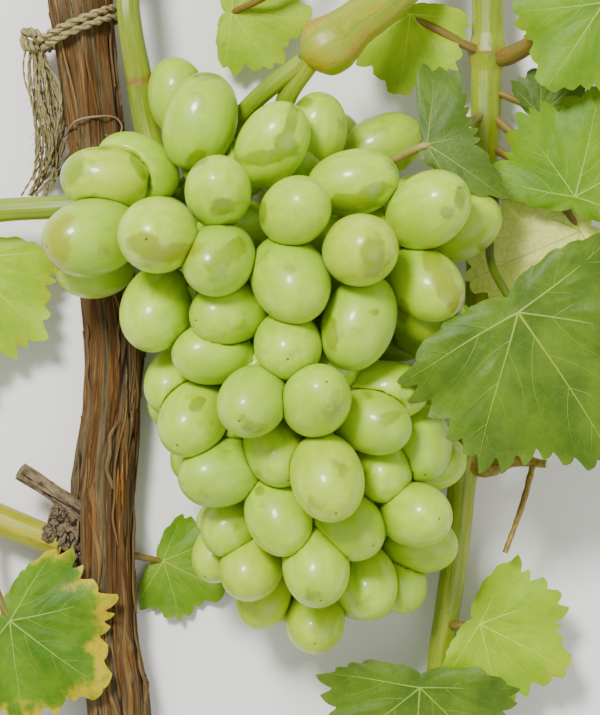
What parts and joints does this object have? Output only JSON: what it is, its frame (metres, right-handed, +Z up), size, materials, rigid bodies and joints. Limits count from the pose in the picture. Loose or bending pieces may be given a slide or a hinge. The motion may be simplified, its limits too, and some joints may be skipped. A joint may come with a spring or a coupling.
{
  "type": "grapevine with a bunch of grapes",
  "caption": "Cut length of grapevine lying flat: barked trunk and arm, green canes, a full bunch of oval pale green berries, lobed leaves and a twine tie.",
  "frame": {"origin": "middle of the footprint, on the ground that the cut vine lies on", "axes": "+X across from the trunk to the bunch, +Y along the trunk towards its arm, +Z up off the ground"},
  "size_m": [0.247, 0.2946, 0.0905],
  "materials": {
    "berry_skin": "satin",
    "bark": "matte",
    "green_cane": "satin",
    "dark_leaf": "matte",
    "bright_leaf": "matte",
    "twine": "matte"
  },
  "bodies": {
    "root": {"arm": "bark", "back_shoot": "green_cane", "behind_leaf": "dark_leaf", "berry_01": "berry_skin", "berry_02": "berry_skin", "berry_03": "berry_skin", "berry_04": "berry_skin", "berry_05": "berry_skin", "berry_06": "berry_skin", "berry_07": "berry_skin", "berry_08": "berry_skin", "berry_09": "berry_skin", "berry_10": "berry_skin", "berry_11": "berry_skin", "berry_12": "berry_skin", "berry_13": "berry_skin", "berry_14": "berry_skin", "berry_15": "berry_skin", "berry_16": "berry_skin", "berry_17": "berry_skin", "berry_18": "berry_skin", "berry_19": "berry_skin", "berry_20": "berry_skin", "berry_21": "berry_skin", "berry_22": "berry_skin", "berry_23": "berry_skin", "berry_24": "berry_skin", "berry_25": "berry_skin", "berry_26": "berry_skin", "berry_27": "berry_skin", "berry_28": "berry_skin", "berry_29": "berry_skin", "berry_30": "berry_skin", "berry_31": "berry_skin", "berry_32": "berry_skin", "berry_33": "berry_skin", "berry_34": "berry_skin", "berry_35": "berry_skin", "berry_36": "berry_skin", "body_cluster": "berry_skin", "bottom_leaf": "dark_leaf", "edge_leaf": "bright_leaf", "folded_leaf": "dark_leaf", "fruiting_shoot": "green_cane", "left_leaf": "bright_leaf", "left_shoot": "green_cane", "lower_left_leaf": "bright_leaf", "right_shoot": "green_cane", "shade_leaf": "dark_leaf", "side_leaf": "bright_leaf", "spur": "bark", "spur_shoot": "green_cane", "sunlit_leaf": "bright_leaf", "tie": "twine", "top_leaf": "bright_leaf", "top_right_leaf": "bright_leaf", "trunk": "bark", "trunk_leaf": "bright_leaf", "upper_left_leaf": "bright_leaf", "wing_cluster": "berry_skin"}
  },
  "joints": []
}
